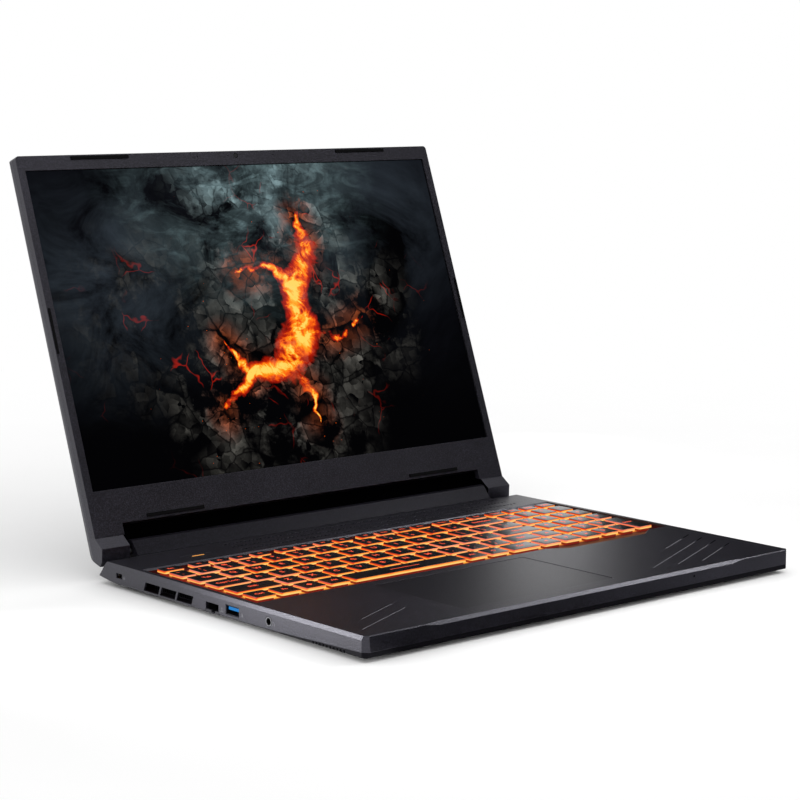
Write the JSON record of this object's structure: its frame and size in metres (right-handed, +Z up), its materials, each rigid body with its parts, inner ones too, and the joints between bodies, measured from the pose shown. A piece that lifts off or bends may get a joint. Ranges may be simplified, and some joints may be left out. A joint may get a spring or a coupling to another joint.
{
  "type": "notebook computer",
  "caption": "Open notebook computer with a drop-hinged display lid, backlit full-size keyboard with number pad, offset touchpad, side sockets and vents.",
  "frame": {"origin": "middle of the footprint of the computer with its lid open, on the plane that the feet stand on", "axes": "+X to the user's right, -Y towards the user, +Z up"},
  "size_m": [0.3603, 0.3678, 0.2694],
  "materials": {
    "case_plastic": "fine satin grain, dark grey",
    "cover_plastic": "matt black",
    "key_plastic": "satin black tops over translucent skirts",
    "tray_film": "matt film lit from below",
    "backlight_clear": "clear, lit orange",
    "pad_film": "smooth satin film",
    "soft_rubber": "matt",
    "hinge_steel": "stamped and plated",
    "port_metal": "nickel plated, satin",
    "usb_blue": "moulded",
    "circuit_board": "solder mask",
    "chip_dark": "polished silicon",
    "copper": "bare copper",
    "fin_metal": "thin stamped fins",
    "screen": "glossy panel",
    "lens_glass": "polished",
    "cable_sleeve": "film and tape"
  },
  "bodies": {
    "base": {"top_case": "case_plastic", "hinge_cover_bar": "case_plastic", "bottom_cover": "cover_plastic", "rj45_socket": "cover_plastic", "audio_jack": "cover_plastic", "dc_inlet": "cover_plastic", "fan_housings": "cover_plastic", "battery_pack": "cover_plastic", "speakers": "cover_plastic", "keyboard_tray": "tray_film", "key_supports": "backlight_clear", "rubber_feet": "soft_rubber", "hinge_brackets": "hinge_steel", "touchpad_bracket": "hinge_steel", "lock_slot_plate": "hinge_steel", "bottom_screws": "hinge_steel", "usb_shells": "port_metal", "rear_ports": "port_metal", "usb_tongues": "usb_blue", "motherboard": "circuit_board", "memory_modules": "circuit_board", "ssd_module": "circuit_board", "wifi_card": "circuit_board", "processors": "chip_dark", "heat_pipes": "copper", "cold_plates": "copper", "fin_stacks": "fin_metal", "ribbon_cables": "cable_sleeve"},
    "display_lid": {"lid_back_cover": "case_plastic", "screen_bezel": "cover_plastic", "lcd_panel": "screen", "bezel_bumpers": "soft_rubber", "webcam_module": "circuit_board", "webcam_lens": "lens_glass", "hinge_arms": "hinge_steel", "antennas": "cover_plastic", "display_cable": "cable_sleeve"},
    "keys_function_body": {"keys_function": "key_plastic"},
    "keys_navigation_body": {"keys_navigation": "key_plastic"},
    "keys_digits_body": {"keys_digits": "key_plastic"},
    "key_backspace_body": {"key_backspace": "key_plastic"},
    "key_tab_body": {"key_tab": "key_plastic"},
    "keys_letters_upper_body": {"keys_letters_upper": "key_plastic"},
    "key_caps_lock_body": {"key_caps_lock": "key_plastic"},
    "keys_letters_home_body": {"keys_letters_home": "key_plastic"},
    "key_enter_body": {"key_enter": "key_plastic"},
    "key_shift_left_body": {"key_shift_left": "key_plastic"},
    "keys_letters_lower_body": {"keys_letters_lower": "key_plastic"},
    "key_shift_right_body": {"key_shift_right": "key_plastic"},
    "keys_modifiers_body": {"keys_modifiers": "key_plastic"},
    "key_space_body": {"key_space": "key_plastic"},
    "keys_arrows_body": {"keys_arrows": "key_plastic"},
    "keys_numpad_body": {"keys_numpad": "key_plastic"},
    "key_numpad_enter_body": {"key_numpad_enter": "key_plastic"},
    "touchpad_plate": {"touchpad": "pad_film"},
    "network_jaw": {"rj45_jaw": "case_plastic"},
    "left_fan": {"fan_rotor_left": "cover_plastic"},
    "right_fan": {"fan_rotor_right": "cover_plastic"},
    "power_key": {"power_button": "case_plastic", "power_light": "backlight_clear"}
  },
  "joints": [
    {"name": "lid_hinge", "type": "hinge", "parent": "base", "child": "display_lid", "pos_m": [0, 0.08521, 0.01696], "axis": [-1, 0, 0], "range_deg": [-109.9, 25]},
    {"name": "keys_function_travel", "type": "slide", "parent": "base", "child": "keys_function_body", "axis": [0, 0, -1], "range_m": [0, 0.0015], "stiffness_N_per_m": 5200, "springref_m": -0.0004},
    {"name": "keys_navigation_travel", "type": "slide", "parent": "base", "child": "keys_navigation_body", "axis": [0, 0, -1], "range_m": [0, 0.0015], "stiffness_N_per_m": 2800, "springref_m": -0.0004},
    {"name": "keys_digits_travel", "type": "slide", "parent": "base", "child": "keys_digits_body", "axis": [0, 0, -1], "range_m": [0, 0.0015], "stiffness_N_per_m": 5200, "springref_m": -0.0004},
    {"name": "key_backspace_travel", "type": "slide", "parent": "base", "child": "key_backspace_body", "axis": [0, 0, -1], "range_m": [0, 0.0015], "stiffness_N_per_m": 400, "springref_m": -0.0004},
    {"name": "key_tab_travel", "type": "slide", "parent": "base", "child": "key_tab_body", "axis": [0, 0, -1], "range_m": [0, 0.0015], "stiffness_N_per_m": 400, "springref_m": -0.0004},
    {"name": "keys_letters_upper_travel", "type": "slide", "parent": "base", "child": "keys_letters_upper_body", "axis": [0, 0, -1], "range_m": [0, 0.0015], "stiffness_N_per_m": 5200, "springref_m": -0.0004},
    {"name": "key_caps_lock_travel", "type": "slide", "parent": "base", "child": "key_caps_lock_body", "axis": [0, 0, -1], "range_m": [0, 0.0015], "stiffness_N_per_m": 400, "springref_m": -0.0004},
    {"name": "keys_letters_home_travel", "type": "slide", "parent": "base", "child": "keys_letters_home_body", "axis": [0, 0, -1], "range_m": [0, 0.0015], "stiffness_N_per_m": 4400, "springref_m": -0.0004},
    {"name": "key_enter_travel", "type": "slide", "parent": "base", "child": "key_enter_body", "axis": [0, 0, -1], "range_m": [0, 0.0015], "stiffness_N_per_m": 400, "springref_m": -0.0004},
    {"name": "key_shift_left_travel", "type": "slide", "parent": "base", "child": "key_shift_left_body", "axis": [0, 0, -1], "range_m": [0, 0.0015], "stiffness_N_per_m": 400, "springref_m": -0.0004},
    {"name": "keys_letters_lower_travel", "type": "slide", "parent": "base", "child": "keys_letters_lower_body", "axis": [0, 0, -1], "range_m": [0, 0.0015], "stiffness_N_per_m": 4000, "springref_m": -0.0004},
    {"name": "key_shift_right_travel", "type": "slide", "parent": "base", "child": "key_shift_right_body", "axis": [0, 0, -1], "range_m": [0, 0.0015], "stiffness_N_per_m": 400, "springref_m": -0.0004},
    {"name": "keys_modifiers_travel", "type": "slide", "parent": "base", "child": "keys_modifiers_body", "axis": [0, 0, -1], "range_m": [0, 0.0015], "stiffness_N_per_m": 2800, "springref_m": -0.0004},
    {"name": "key_space_travel", "type": "slide", "parent": "base", "child": "key_space_body", "axis": [0, 0, -1], "range_m": [0, 0.0015], "stiffness_N_per_m": 400, "springref_m": -0.0004},
    {"name": "keys_arrows_travel", "type": "slide", "parent": "base", "child": "keys_arrows_body", "axis": [0, 0, -1], "range_m": [0, 0.0015], "stiffness_N_per_m": 1600, "springref_m": -0.0004},
    {"name": "keys_numpad_travel", "type": "slide", "parent": "base", "child": "keys_numpad_body", "axis": [0, 0, -1], "range_m": [0, 0.0015], "stiffness_N_per_m": 6800, "springref_m": -0.0004},
    {"name": "key_numpad_enter_travel", "type": "slide", "parent": "base", "child": "key_numpad_enter_body", "axis": [0, 0, -1], "range_m": [0, 0.0015], "stiffness_N_per_m": 400, "springref_m": -0.0004},
    {"name": "touchpad_click", "type": "hinge", "parent": "base", "child": "touchpad_plate", "pos_m": [-0.032, -0.08849, 0.01425], "axis": [1, 0, 0], "range_deg": [0, 0.35], "stiffness_Nm_per_rad": 8, "springref_deg": -0.57},
    {"name": "network_jaw_hinge", "type": "hinge", "parent": "base", "child": "network_jaw", "pos_m": [-0.17105, -0.04039, 0.0036], "axis": [0, -1, 0], "range_deg": [0, 12], "stiffness_Nm_per_rad": 0.02, "springref_deg": -11.46},
    {"name": "left_fan_spin", "type": "hinge", "parent": "base", "child": "left_fan", "pos_m": [-0.11805, 0.02191, 0.0076], "axis": [0, 0, 1], "continuous": true},
    {"name": "right_fan_spin", "type": "hinge", "parent": "base", "child": "right_fan", "pos_m": [0.11805, 0.02191, 0.0076], "axis": [0, 0, 1], "continuous": true},
    {"name": "power_press", "type": "slide", "parent": "base", "child": "power_key", "axis": [0, 0, -1], "range_m": [0, 0.0005], "stiffness_N_per_m": 1500, "springref_m": -0.0003}
  ]
}
